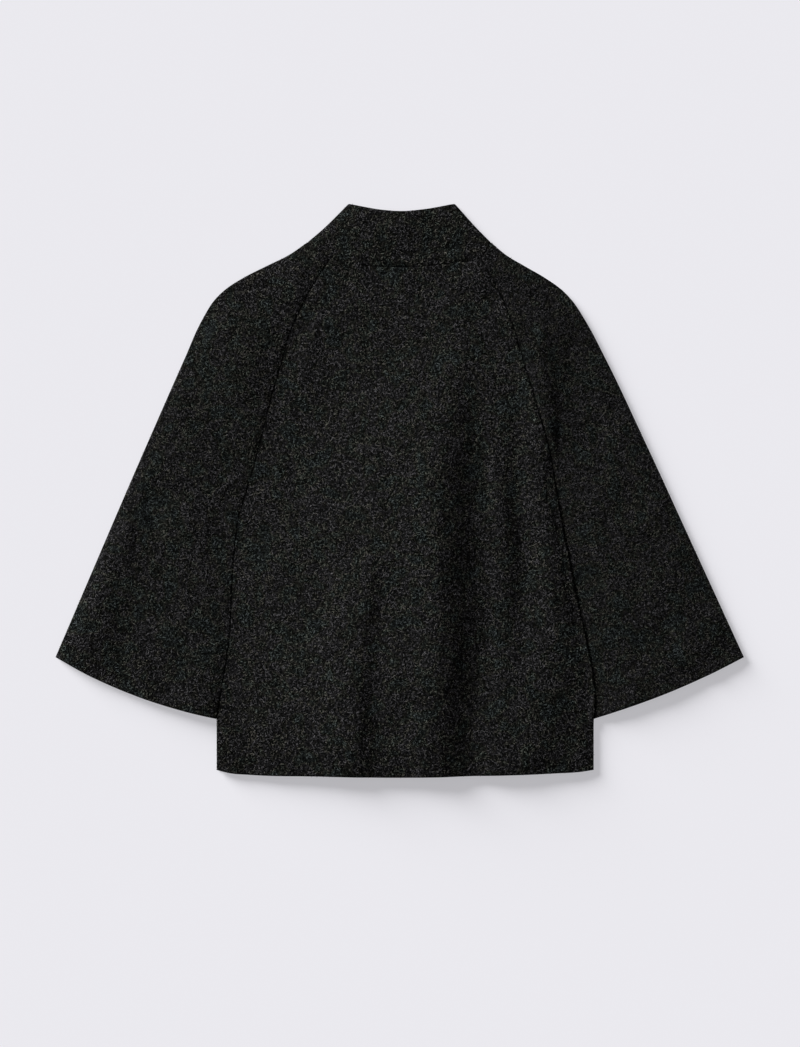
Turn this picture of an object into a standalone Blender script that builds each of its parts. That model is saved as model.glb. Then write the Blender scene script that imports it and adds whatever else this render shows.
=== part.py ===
"""Raglan jacket of thick boucle wool, laid flat on its front with its back up.

The scene is in metres, +Z up. The sizes and tables below are in millimetres, and are turned into metres
once, where a mesh is made. X runs across the back, Y from the hem up to the collar, and Z = 0 is the surface
it lies on.

The lower layer is flat: the two fronts, the front halves of the sleeves and the front of the collar. The
upper layer lies on it and carries the folds: the back, the back halves of the sleeves and the back of the
collar. Left and right are those of someone who looks down at the back.
"""

import math
from collections import namedtuple

import bmesh
import bpy
import numpy as np

MM = 0.001

# The cloth
WALL = 2.6  # thickness of the coating
GAP = 0.3  # between neighbouring pieces
EDGE = 1.0  # width over which a piece's edge is softened
EDGE_THICKNESS = 0.45  # share of the wall that is left at the very edge
LOFT = 2.5  # air between the two layers away from seams and edges
COLOUR = (0.0112, 0.0116, 0.0110, 1.0)
ROUGHNESS = 0.95

# The cut, as it lies
HALF_SPAN = 430.6  # centre to the tip of a cuff
COLLAR_TOP = 359.4
HEM_LOWEST = -358.0
CENTRE = 6.9  # X of the garment's own centre line
HEM_LEFT = -228.8
HEM_RIGHT = 242.6
HEM_CORNER = -348.8  # Y of the hem's two corners
UNDERARM = 22.5  # Y where raglan seam, side seam and sleeve seam meet
CUFF_INNER = -285.0  # Y of a cuff's inner corner, beside the body
CUFF_OUTER = -207.8
NECK_SIDE = 311.2  # Y where the neck seam meets the outline
FRONT_NECK = 246.0  # Y of the neck seam at the centre front
FRONT_COLLAR = 330.0  # Y of the collar's edge at the centre front

# How finely each piece is divided
SEAM_ROWS = 22  # along a raglan and underarm seam, neck to cuff
SIDE_ROWS = 3  # along a side, cuff to hem
BACK_COLUMNS = 48
SLEEVE_COLUMNS = 16
FRONT_COLUMNS = 9
SLEEVE_FRONT_COLUMNS = 6
BACK_CROWDING = 0.3  # how much its columns crowd towards the sides
SLEEVE_CROWDING = 0.45
COLLAR_ROWS = 6
COLLAR_SIDE_COLUMNS = 5  # over the end of each sleeve
CURVE_STEPS = 24  # of a smooth curve, between two of its points

Point = namedtuple("Point", "x y")
Crest = namedtuple("Crest", "x y left right height")

# Outline of each sleeve from the neck over the shoulder to the tip of the cuff
LEFT_EDGE = [
    Point(-115.5, NECK_SIDE),
    Point(-137.5, 296.0),
    Point(-167.5, 281.0),
    Point(-196.0, 266.5),
    Point(-219.5, 251.0),
    Point(-232.0, 238.5),
    Point(-247.5, 213.5),
    Point(-270.0, 163.5),
    Point(-314.0, 63.5),
    Point(-HALF_SPAN, CUFF_OUTER),
]
RIGHT_EDGE = [
    Point(114.0, NECK_SIDE),
    Point(132.0, 296.0),
    Point(157.0, 281.0),
    Point(182.0, 266.5),
    Point(203.5, 251.0),
    Point(215.5, 238.5),
    Point(232.0, 213.5),
    Point(258.5, 163.5),
    Point(306.0, 63.5),
    Point(372.0, -80.0),
    Point(HALF_SPAN, CUFF_OUTER),
]

# Raglan seam from the neck to the underarm, then the line where sleeve and body lie side by side
LEFT_RAGLAN = [
    Point(-86.5, 290.5),
    Point(-101.0, 269.0),
    Point(-116.0, 243.5),
    Point(-136.0, 200.0),
    Point(-150.0, 152.0),
    Point(-163.0, 107.0),
    Point(-173.5, 64.0),
    Point(-184.5, UNDERARM),
]
LEFT_UNDERARM = [
    Point(-202.0, -38.0),
    Point(-208.5, -100.0),
    Point(-213.0, -184.0),
    Point(-222.0, -245.0),
    Point(HEM_LEFT, CUFF_INNER),
]
RIGHT_RAGLAN = [
    Point(101.5, 291.5),
    Point(112.0, 273.0),
    Point(122.5, 253.5),
    Point(141.0, 208.5),
    Point(158.0, 151.0),
    Point(173.5, 100.0),
    Point(186.5, 55.0),
    Point(192.5, UNDERARM),
]
RIGHT_UNDERARM = [
    Point(200.0, -22.5),
    Point(218.5, -119.0),
    Point(240.0, -222.0),
    Point(244.5, -256.0),
    Point(HEM_RIGHT, CUFF_INNER),
]
FRONT_START = 1  # the front's raglan seam starts at the second point of the back's

# Cuffs from the inner corner to the tip, and the hem from left to right
LEFT_CUFF = [
    LEFT_UNDERARM[-1],
    Point(-265.0, -276.5),
    Point(-325.0, -258.0),
    Point(-385.0, -232.5),
    LEFT_EDGE[-1],
]
RIGHT_CUFF = [
    RIGHT_UNDERARM[-1],
    Point(262.5, -278.5),
    Point(320.0, -258.3),
    Point(380.0, -233.0),
    RIGHT_EDGE[-1],
]
HEM = [
    Point(HEM_LEFT, HEM_CORNER),
    Point(-212.0, -352.9),
    Point(-187.0, -354.9),
    Point(-100.0, -356.6),
    Point(-8.0, HEM_LOWEST),
    Point(90.0, -356.2),
    Point(192.0, -353.0),
    Point(228.0, -350.9),
    Point(HEM_RIGHT, HEM_CORNER),
]

# Neck seams and the collar's upper edges, from left to right; the outline of the collar from the neck up
BACK_NECK = [
    LEFT_EDGE[0],
    LEFT_RAGLAN[0],
    Point(-68.0, 285.5),
    Point(0.0, 280.0),
    Point(72.0, 286.0),
    RIGHT_RAGLAN[0],
    RIGHT_EDGE[0],
]
FRONT_NECK_SEAM = [
    LEFT_EDGE[0],
    LEFT_RAGLAN[FRONT_START],
    Point(-62.0, 251.0),
    Point(CENTRE, FRONT_NECK),
    Point(75.0, 251.0),
    RIGHT_RAGLAN[FRONT_START],
    RIGHT_EDGE[0],
]
COLLAR_LEFT = [LEFT_EDGE[0], Point(-97.8, 326.2), Point(-64.0, COLLAR_TOP)]
COLLAR_RIGHT = [RIGHT_EDGE[0], Point(99.0, 326.2), Point(69.0, COLLAR_TOP)]
BACK_COLLAR_EDGE = [
    COLLAR_LEFT[-1],
    Point(-28.0, 352.5),
    Point(2.0, 350.1),
    Point(33.0, 352.8),
    COLLAR_RIGHT[-1],
]
FRONT_COLLAR_EDGE = [
    COLLAR_LEFT[-1],
    Point(-30.0, 338.0),
    Point(CENTRE, FRONT_COLLAR),
    Point(44.0, 338.0),
    COLLAR_RIGHT[-1],
]

# Folds of the upper layer. Each is a ridge along its crest, a row for each section of it: where the crest is,
# how far the ridge reaches to the left and to the right of it, and how high it stands. Crests that run across
# list their reach below and above. All start and end at no height, or run past the cloth's edge.
FOLDS = {
    "long flute right of the centre": [
        Crest(62, 190, 80, 40, 0.0),
        Crest(54, 120, 100, 54, 5.5),
        Crest(48, 40, 120, 62, 10.5),
        Crest(46, -100, 124, 66, 13.5),
        Crest(44, -240, 124, 64, 13.0),
        Crest(42, -380, 110, 52, 7.0),
    ],
    "broad swell that it stands on": [
        Crest(70, 240, 130, 80, 0.0),
        Crest(58, 130, 180, 120, 5.5),
        Crest(50, 20, 240, 150, 8.0),
        Crest(46, -240, 240, 150, 7.0),
        Crest(44, -380, 240, 150, 4.0),
    ],
    "slender fold beside it": [
        Crest(134, 56, 30, 22, 0.0),
        Crest(133, -4, 34, 26, 4.2),
        Crest(131, -110, 30, 26, 4.0),
        Crest(129, -210, 26, 24, 0.0),
    ],
    "roll of the right side": [
        Crest(166, 240, 36, 20, 0.0),
        Crest(175, 160, 36, 24, 4.6),
        Crest(179, 95, 36, 22, 6.4),
        Crest(177, 45, 32, 24, 7.0),
        Crest(175, -20, 32, 34, 6.8),
        Crest(182, -110, 34, 48, 7.0),
        Crest(180, -210, 40, 66, 8.4),
        Crest(165, -290, 44, 84, 9.6),
        Crest(160, -380, 44, 88, 7.0),
    ],
    "low fold left of the hem's centre": [
        Crest(-46, -90, 60, 24, 0.0),
        Crest(-52, -160, 76, 28, 5.4),
        Crest(-56, -270, 80, 30, 6.8),
        Crest(-58, -380, 76, 28, 5.0),
    ],
    "roll of the left side": [
        Crest(-140, 20, 50, 90, 0.0),
        Crest(-146, -60, 60, 100, 1.6),
        Crest(-150, -200, 70, 100, 2.8),
        Crest(-152, -380, 74, 100, 2.6),
    ],
    "front of the right sleeve": [
        Crest(216, 196, 20, 26, 0.0),
        Crest(221, 150, 20, 30, 4.6),
        Crest(228, 85, 20, 34, 4.6),
        Crest(234, 30, 20, 34, 0.0),
    ],
    "inner side of the right sleeve": [
        Crest(226, 30, 30, 70, 0.0),
        Crest(244, -20, 40, 110, 1.6),
        Crest(262, -110, 44, 140, 2.6),
        Crest(286, -215, 44, 140, 2.6),
        Crest(296, -320, 44, 140, 2.4),
    ],
    "long fold of the left sleeve": [
        Crest(-330, 50, 34, 40, 0.0),
        Crest(-350, -10, 40, 48, 4.6),
        Crest(-384, -150, 40, 50, 5.0),
        Crest(-400, -250, 34, 44, 0.0),
    ],
    "inner side of the left sleeve": [
        Crest(-236, 70, 40, 36, 0.0),
        Crest(-250, 0, 58, 42, 3.0),
        Crest(-256, -110, 58, 42, 2.8),
        Crest(-262, -200, 60, 36, 3.4),
        Crest(-266, -320, 60, 36, 3.6),
    ],
    "left shoulder": [
        Crest(-214, 236, 30, 46, 0.0),
        Crest(-208, 190, 36, 58, 4.2),
        Crest(-206, 120, 36, 56, 3.6),
        Crest(-212, 70, 36, 50, 0.0),
    ],
    "roll above the neck seam": [
        Crest(-100, 309, 5, 6, 0.0),
        Crest(-83, 298, 6, 9, 0.7),
        Crest(0, 286, 6, 9, 0.6),
        Crest(80, 294, 6, 9, 0.8),
        Crest(104, 308, 5, 6, 0.0),
    ],
}

# Where the upper layer is held down on the lower one, or sinks into a seam: reach to the left and to the
# right, and the share of its height that it loses there
OUTLINE_REACH = 28
CREVICE_REACH = {"left": (24, 20), "right": (20, 26)}
CREVICE_DEPTH = {"left": 0.65, "right": 0.9}
SEAM_SINK = Crest(0, 0, 8, 8, 0.4)
HEM_SINK = Crest(0, 0, 40, 40, 0.3)


def smooth(points):
    """A smooth curve through the points, as CURVE_STEPS short chords for each span"""
    knots = np.array(points, dtype=float)[:, :2]
    spans = np.linalg.norm(np.diff(knots, axis=0), axis=1)
    times = np.concatenate([[0.0], np.cumsum(spans)])
    slopes = np.gradient(knots, times, axis=0)
    step = np.linspace(0.0, 1.0, CURVE_STEPS, endpoint=False)[:, None]
    pieces = []
    for start, end, slope_in, slope_out, span in zip(knots, knots[1:], slopes, slopes[1:], spans):
        pieces.append(
            (2 * step**3 - 3 * step**2 + 1) * start
            + (step**3 - 2 * step**2 + step) * span * slope_in
            + (3 * step**2 - 2 * step**3) * end
            + (step**3 - step**2) * span * slope_out
        )
    return np.concatenate(pieces + [knots[-1:]])


def along(points, fractions, first=0, last=None):
    """Points at these fractions of a smooth curve's length, or of its stretch between two of its points"""
    last = len(points) - 1 if last is None else last
    curve = smooth(points)[first * CURVE_STEPS : last * CURVE_STEPS + 1]
    lengths = np.concatenate([[0.0], np.cumsum(np.linalg.norm(np.diff(curve, axis=0), axis=1))])
    places = np.asarray(fractions) * lengths[-1]
    return np.stack([np.interp(places, lengths, curve[:, axis]) for axis in (0, 1)], axis=-1)


def length_of(points, first=0, last=None):
    last = len(points) - 1 if last is None else last
    curve = smooth(points)[first * CURVE_STEPS : last * CURVE_STEPS + 1]
    return np.linalg.norm(np.diff(curve, axis=0), axis=1).sum()


def divide(length, count, start_gap=0.0, end_gap=0.0, crowding=0.0):
    """Fractions that divide a length: its two ends, a softened edge inside each, and count steps between.
    Crowding moves the steps towards both ends."""
    even = np.linspace(0.0, 1.0, count + 1)
    even = even - crowding * np.sin(2 * math.pi * even) / (2 * math.pi)
    low = start_gap + EDGE
    high = length - end_gap - EDGE
    inside = low + (high - low) * even
    return np.concatenate([[start_gap], inside, [length - end_gap]]) / length


def nearest_on(crests, x, y):
    """For each place: its signed distance from a crest line, and the line's two reaches and height there"""
    table = np.array(crests, dtype=float)
    best = np.full(x.shape, np.inf)
    distance = np.zeros(x.shape)
    values = np.zeros(x.shape + (3,))
    for low, high in zip(table, table[1:]):
        run_x, run_y = high[0] - low[0], high[1] - low[1]
        share = ((x - low[0]) * run_x + (y - low[1]) * run_y) / (run_x**2 + run_y**2)
        share = np.clip(share, 0.0, 1.0)
        off_x = x - low[0] - share * run_x
        off_y = y - low[1] - share * run_y
        away = np.hypot(off_x, off_y)
        closer = away < best
        side = np.where(run_x * off_y - run_y * off_x < 0, -1.0, 1.0)
        best = np.where(closer, away, best)
        distance = np.where(closer, side * away, distance)
        row = low[2:] + share[..., None] * (high[2:] - low[2:])
        values = np.where(closer[..., None], row, values)
    return distance, values


def ridge(crests, x, y):
    distance, values = nearest_on(crests, x, y)
    reach = np.where(distance < 0, values[..., 0], values[..., 1])
    share = np.clip(np.abs(distance) / reach, 0.0, 1.0)
    return values[..., 2] * 0.5 * (1 + np.cos(math.pi * share))


def pressed(crests, x, y):
    """What is left of the height beside a line that holds the cloth down: a rounded shoulder rises from it"""
    distance, values = nearest_on(crests, x, y)
    reach = np.where(distance < 0, values[..., 0], values[..., 1])
    share = np.clip(np.abs(distance) / reach, 0.0, 1.0)
    return 1 - values[..., 2] * (1 - share) ** 2


def press_lines():
    """Outline of the sleeves and the collar, crevices between sleeve and body, raglan seams, hem and cuffs"""
    lines = []
    for edge, collar in ((LEFT_EDGE, COLLAR_LEFT), (RIGHT_EDGE, COLLAR_RIGHT)):
        outline = collar[:0:-1] + edge
        lines.append([Crest(p.x, p.y, OUTLINE_REACH, OUTLINE_REACH, 1.0) for p in outline])
    for side, raglan, underarm, hem in (
        ("left", LEFT_RAGLAN, LEFT_UNDERARM, HEM[0]),
        ("right", RIGHT_RAGLAN, RIGHT_UNDERARM, HEM[-1]),
    ):
        left, right = CREVICE_REACH[side]
        start = Crest(raglan[-2].x, raglan[-2].y, left, right, 0.0)
        depth = CREVICE_DEPTH[side]
        crevice = [Crest(p.x, p.y, left, right, depth) for p in raglan[-1:] + underarm + [hem]]
        lines.append([start] + crevice)
        lines.append([SEAM_SINK._replace(x=p.x, y=p.y) for p in raglan])
    for edge in (HEM, LEFT_CUFF, RIGHT_CUFF):
        lines.append([HEM_SINK._replace(x=p.x, y=p.y) for p in edge])
    return lines


def lie(plan):
    """Height of the upper layer's underside above the lower layer, less the gap"""
    x, y = plan[..., 0], plan[..., 1]
    height = LOFT + sum(ridge(crests, x, y) for crests in FOLDS.values())
    for line in press_lines():
        height = height * pressed(line, x, y)
    return height


def patch(start, end, first_edge, last_edge, rows, columns):
    """Places on a panel. Each row is ruled from a start point to an end point, and is bowed so that the first
    and the last rows run like the panel's end curves."""

    def ruled(low, high):
        return low * (1 - columns[..., None]) + high * columns[..., None]

    ends = np.array([0.0, 1.0])
    first_bow = first_edge(columns) - ruled(*first_edge(ends))
    last_bow = last_edge(columns) - ruled(*last_edge(ends))
    share = rows[:, None, None]
    return ruled(start[:, None], end[:, None]) + (1 - share) * first_bow + share * last_bow


def panel_columns(start, end, count, start_gap, end_gap, crowding):
    widths = np.linalg.norm(end - start, axis=1)
    return np.array([divide(width, count, start_gap, end_gap, crowding) for width in widths])


def cloth(name):
    """Charcoal boucle: very rough, with no shine"""
    material = bpy.data.materials.new(name)
    material.use_nodes = True
    shader = material.node_tree.nodes["Principled BSDF"]
    shader.inputs["Base Color"].default_value = COLOUR
    shader.inputs["Roughness"].default_value = ROUGHNESS
    shader.inputs["Metallic"].default_value = 0.0
    return material


def wall(name, outer, inner):
    """A closed wall between two matching grids of points, its rim softened and closed all round"""
    rows, columns = outer.shape[:2]
    border = np.ones((rows, columns), dtype=bool)
    border[1:-1, 1:-1] = False
    middle = (outer + inner) / 2
    thinner = np.where(border, EDGE_THICKNESS, 1.0)[..., None]
    mesh = bmesh.new()
    skins = []
    for grid in (outer, inner):
        points = (middle + (grid - middle) * thinner) * MM
        skins.append([[mesh.verts.new(point) for point in row] for row in points])
    for skin in skins:
        for row, next_row in zip(skin, skin[1:]):
            for a, b, c, d in zip(row, row[1:], next_row[1:], next_row):
                mesh.faces.new((a, b, c, d))
    rims = []
    for skin in skins:
        left_side = [row[0] for row in skin[-2:0:-1]]
        right_side = [row[-1] for row in skin[1:-1]]
        rims.append(skin[0] + right_side + skin[-1][::-1] + left_side)
    for i, (top, low) in enumerate(zip(*rims)):
        mesh.faces.new((rims[0][i - 1], top, low, rims[1][i - 1]))
    bmesh.ops.recalc_face_normals(mesh, faces=mesh.faces[:])
    data = bpy.data.meshes.new(name)
    mesh.to_mesh(data)
    mesh.free()
    data.shade_smooth()
    data.set_sharp_from_angle(angle=math.radians(40))
    data.materials.append(cloth(name))
    piece = bpy.data.objects.new(name, data)
    bpy.context.collection.objects.link(piece)
    return piece


def raised(plan, height):
    """Plan points at a height, or at an array of heights"""
    return np.dstack([plan, np.broadcast_to(height, plan.shape[:2])])


def upper_wall(name, plan):
    under = WALL + GAP + lie(plan)
    return wall(name, raised(plan, under + WALL), raised(plan, under))


def lower_wall(name, plan):
    return wall(name, raised(plan, 0.0), raised(plan, WALL))


def seam_line(raglan, underarm, first):
    """The rows of a panel along a raglan and underarm seam: their fractions of its length, and points"""
    seam = raglan + underarm
    rows = divide(length_of(seam, first), SEAM_ROWS, start_gap=GAP / 2)
    return rows, along(seam, rows, first)


def body_side(raglan, underarm, hem_corner, first):
    """Side of a body panel: down the seam to the cuff, then down to the hem"""
    points = seam_line(raglan, underarm, first)[1]
    side = [underarm[-1], hem_corner]
    lower = along(side, divide(length_of(side), SIDE_ROWS)[2:])
    return np.concatenate([points[:-2], points[-1:], lower])


def row_shares(side):
    """How far down a panel each of its rows is, from 0 to 1"""
    steps = np.linalg.norm(np.diff(side, axis=0), axis=1)
    return np.concatenate([[0.0], np.cumsum(steps)]) / steps.sum()


def back():
    left = body_side(LEFT_RAGLAN, LEFT_UNDERARM, HEM[0], 0)
    right = body_side(RIGHT_RAGLAN, RIGHT_UNDERARM, HEM[-1], 0)
    columns = panel_columns(left, right, BACK_COLUMNS, GAP / 2, GAP / 2, BACK_CROWDING)
    neck_end = len(BACK_NECK) - 2
    plan = patch(
        left,
        right,
        lambda share: along(BACK_NECK, share, 1, neck_end),
        lambda share: along(HEM, share),
        row_shares(left),
        columns,
    )
    upper_wall("back", plan)


def to_centre(points, centre_y, sign):
    """The part of a curve between one side and the centre front, where it stops half a gap short"""
    one_side = [point for point in points[::-sign] if (point.x - CENTRE) * sign > EDGE]
    return one_side + [Point(CENTRE + sign * GAP / 2, centre_y)]


def front(name, raglan, underarm, hem_corner, sign):
    """One front: from its side and raglan seam to the centre front"""
    outside = body_side(raglan, underarm, hem_corner, FRONT_START)
    shares = row_shares(outside)
    neck = to_centre(FRONT_NECK_SEAM, FRONT_NECK - GAP / 2, sign)
    hem = to_centre(HEM, HEM_LOWEST, sign)
    inside = along([neck[-1], hem[-1]], shares)
    columns = panel_columns(outside, inside, FRONT_COLUMNS, GAP / 2, 0.0, 0.0)
    plan = patch(
        outside,
        inside,
        lambda share: along(neck, share, 1),
        lambda share: along(hem, share),
        shares,
        columns,
    )
    lower_wall(name, plan)


def sleeve_half(name, raglan, underarm, edge, cuff, neck, first, count, make):
    """One half of a sleeve: from raglan and underarm seam to the outline, and from the neck to the cuff"""
    rows, inside = seam_line(raglan, underarm, first)
    outside = along(edge, rows)
    columns = panel_columns(inside, outside, count, GAP / 2, 0.0, SLEEVE_CROWDING)
    plan = patch(
        inside,
        outside,
        lambda share: along(neck, 1 - share, 0, 1),
        lambda share: along(cuff, share),
        rows,
        columns,
    )
    make(name, plan)


def neck_shares(neck, stretches):
    """Shares of a neck seam's length where the collar's columns stand: beside those of the panels there"""
    places = []
    start = 0.0
    for first, last, shares in stretches:
        length = length_of(neck, first, last)
        places.append(start + shares * length)
        start += length
    return np.concatenate(places) / start


def collar():
    """One band round the neck, folded at both sides. Its front half lies underneath, and its two ends meet
    at the centre front."""
    turn_radius = (2 * WALL + GAP) / 2
    rows = divide(length_of(COLLAR_LEFT), COLLAR_ROWS, start_gap=GAP / 2)
    left = along(COLLAR_LEFT, rows)
    right = along(COLLAR_RIGHT, rows)
    widths = np.linalg.norm(right - left, axis=1)
    over_sleeve = np.linspace(0.0, 1.0, COLLAR_SIDE_COLUMNS + 1)[1:-1]

    def back_plan(insets):
        return patch(
            left,
            right,
            lambda share: along(BACK_NECK, share),
            lambda share: along(BACK_COLLAR_EDGE, share),
            rows,
            insets / widths[:, None],
        )

    last = len(BACK_NECK) - 1
    over_back = divide(length_of(BACK_NECK, 1, last - 1), BACK_COLUMNS, GAP / 2, GAP / 2, BACK_CROWDING)
    stretches = [(0, 1, over_sleeve), (1, last - 1, over_back[1:-1:2]), (last - 1, last, over_sleeve)]
    shares = neck_shares(BACK_NECK, stretches)
    spread = (shares * widths[0] - turn_radius) / (widths[0] - 2 * turn_radius)
    spread = np.concatenate([[0.0], spread, [1.0]])
    top = back_plan(turn_radius + (widths - 2 * turn_radius)[:, None] * spread)

    def front_plan(side, sign, insets=None):
        neck = to_centre(FRONT_NECK_SEAM, FRONT_NECK, sign)
        edge = to_centre(FRONT_COLLAR_EDGE, FRONT_COLLAR, sign)
        centre = along([neck[-1], edge[-1]], rows)
        reach = np.linalg.norm(centre - side, axis=1)
        if insets is None:
            last = len(neck) - 1
            over_front = divide(length_of(neck, 1, last), FRONT_COLUMNS, GAP / 2)[1:-1]
            shares = neck_shares(neck, [(0, 1, over_sleeve), (1, last, over_front)])
            spread = (shares * reach[0] - turn_radius) / (reach[0] - turn_radius)
            spread = np.concatenate([[0.0], spread, [1.0]])
            insets = turn_radius + (reach - turn_radius)[:, None] * spread[::-1]
        return patch(
            side,
            centre,
            lambda share: along(neck, share),
            lambda share: along(edge, share),
            rows,
            insets / reach[:, None],
        )

    def turn(radius, degrees):
        """How far in from the outline points of the fold are, and how high"""
        angles = np.radians(degrees)
        insets = turn_radius - radius * np.cos(angles)
        return np.broadcast_to(insets, (len(rows), len(angles))), turn_radius + radius * np.sin(angles)

    skins = []
    for radius, flat_height, lift in ((turn_radius, 0.0, WALL), (GAP / 2, WALL, 0.0)):
        low_insets, low_heights = turn(radius, [-60, -30])
        tip_insets, tip_heights = turn(radius, [0])
        high_insets, high_heights = turn(radius, [30, 60])
        strips = [
            raised(front_plan(left, -1), flat_height),
            raised(front_plan(left, -1, low_insets), low_heights),
            raised(back_plan(tip_insets), tip_heights),
            raised(back_plan(high_insets), high_heights),
            raised(top, WALL + GAP + lie(top) + lift),
            raised(back_plan(widths[:, None] - high_insets[:, ::-1]), high_heights[::-1]),
            raised(back_plan(widths[:, None] - tip_insets), tip_heights),
            raised(front_plan(right, 1, low_insets[:, ::-1]), low_heights[::-1]),
            raised(front_plan(right, 1)[:, ::-1], flat_height),
        ]
        skins.append(np.concatenate(strips, axis=1))
    wall("collar", *skins)


def build():
    for leftover in list(bpy.data.objects):
        bpy.data.objects.remove(leftover, do_unlink=True)
    back()
    sides = {
        "left": (LEFT_RAGLAN, LEFT_UNDERARM, LEFT_EDGE, LEFT_CUFF, HEM[0], -1),
        "right": (RIGHT_RAGLAN, RIGHT_UNDERARM, RIGHT_EDGE, RIGHT_CUFF, HEM[-1], 1),
    }
    for side, (raglan, underarm, edge, cuff, hem_corner, sign) in sides.items():
        back_neck = BACK_NECK[::-sign]
        front_neck = FRONT_NECK_SEAM[::-sign]
        sleeve_half(
            f"sleeve_back_{side}", raglan, underarm, edge, cuff, back_neck, 0, SLEEVE_COLUMNS, upper_wall
        )
        sleeve_half(
            f"sleeve_front_{side}", raglan, underarm, edge, cuff, front_neck, FRONT_START,
            SLEEVE_FRONT_COLUMNS, lower_wall,
        )
        front(f"front_{side}", raglan, underarm, hem_corner, sign)
    collar()


build()
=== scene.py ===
"""Raglan jacket of charcoal boucle wool, laid flat on its front with its back up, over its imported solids.

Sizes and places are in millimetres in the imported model's frame: X across the back, Y from the hem up to the
collar, Z up from the floor. MM turns them into metres where a mesh is made. Left and right are those of
someone who looks down.
"""

import math
from collections import namedtuple

import bmesh
import bpy
import numpy as np
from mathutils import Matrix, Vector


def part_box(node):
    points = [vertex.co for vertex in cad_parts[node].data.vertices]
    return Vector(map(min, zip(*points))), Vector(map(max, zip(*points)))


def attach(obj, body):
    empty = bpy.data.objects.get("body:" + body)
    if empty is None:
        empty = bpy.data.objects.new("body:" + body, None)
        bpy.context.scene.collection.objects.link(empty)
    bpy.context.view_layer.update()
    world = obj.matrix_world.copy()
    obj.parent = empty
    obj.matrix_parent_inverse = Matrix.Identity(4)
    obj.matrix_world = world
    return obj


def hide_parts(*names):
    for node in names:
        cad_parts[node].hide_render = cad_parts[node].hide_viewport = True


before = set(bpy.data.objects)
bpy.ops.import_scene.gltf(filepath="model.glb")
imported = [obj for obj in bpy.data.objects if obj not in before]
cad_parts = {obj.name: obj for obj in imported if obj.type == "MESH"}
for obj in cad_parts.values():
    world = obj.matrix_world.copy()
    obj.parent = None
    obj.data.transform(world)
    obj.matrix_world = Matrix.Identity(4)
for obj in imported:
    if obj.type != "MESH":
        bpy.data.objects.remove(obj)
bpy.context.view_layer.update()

# ==================================================================================================
# The two fronts
# Two panels of boucle coating, face down on the floor under the back. Each is cut with the front part of a
# raglan armhole. They meet edge to edge at the centre front, and are sewn to the back along the sides.
# ==================================================================================================

MM = 0.001
GAP = 0.3  # between the two layers, where they are pressed together
SEAM_GAP = 0.05  # between two pieces at a seam
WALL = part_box("front_left")[1].z / MM  # thickness of the coating
RIM_RINGS = np.array([0.0, 0.25, 0.7, 1.3, 2.1, 3.2, 4.6, 6.5])  # first rings of a mesh, in from its edge
CURVE_STEPS = 24  # chords for each span of a curve

CENTRE = 6.9  # X of the jacket's centre line
CENTRE_ROOM = 1.0  # a front's own curves have no point nearer to the centre line, but for their last one
UNDERARM = 22.5  # Y of the places where sleeve, back and front meet
FRONT_NECK = 246.0  # Y of the front neck seam at the centre
HEM_LOWEST = -358.0
HEM_CORNER = -348.8
FRONT_MESH = (96, 56)  # rows down the side, columns to the centre

Point = namedtuple("Point", "x y")
Crest = namedtuple("Crest", "x y left right height")

# Raglan seams from the neck to the underarm, and the lines where sleeve and body lie side by side
LEFT_RAGLAN = [
    Point(-86.5, 290.5),
    Point(-101.0, 269.0),
    Point(-116.0, 243.5),
    Point(-136.0, 200.0),
    Point(-150.0, 152.0),
    Point(-163.0, 107.0),
    Point(-173.5, 64.0),
    Point(-184.5, UNDERARM),
]
LEFT_UNDERARM = [
    Point(-202.0, -38.0),
    Point(-208.5, -100.0),
    Point(-213.0, -184.0),
    Point(-222.0, -245.0),
    Point(-228.8, -285.0),
]
RIGHT_RAGLAN = [
    Point(101.5, 291.5),
    Point(112.0, 273.0),
    Point(122.5, 253.5),
    Point(141.0, 208.5),
    Point(158.0, 151.0),
    Point(173.5, 100.0),
    Point(186.5, 55.0),
    Point(192.5, UNDERARM),
]
RIGHT_UNDERARM = [
    Point(200.0, -22.5),
    Point(218.5, -119.0),
    Point(240.0, -222.0),
    Point(244.5, -256.0),
    Point(242.6, -285.0),
]
HEM = [
    Point(LEFT_UNDERARM[-1].x, HEM_CORNER),
    Point(-212.0, -352.9),
    Point(-187.0, -354.9),
    Point(-100.0, -356.6),
    Point(-8.0, HEM_LOWEST),
    Point(90.0, -356.2),
    Point(192.0, -353.0),
    Point(228.0, -350.9),
    Point(RIGHT_UNDERARM[-1].x, HEM_CORNER),
]
FRONT_NECK_SEAM = [
    Point(-115.5, 311.2),
    LEFT_RAGLAN[1],
    Point(-62.0, 251.0),
    Point(CENTRE, FRONT_NECK),
    Point(75.0, 251.0),
    RIGHT_RAGLAN[1],
    Point(114.0, 311.2),
]

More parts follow.
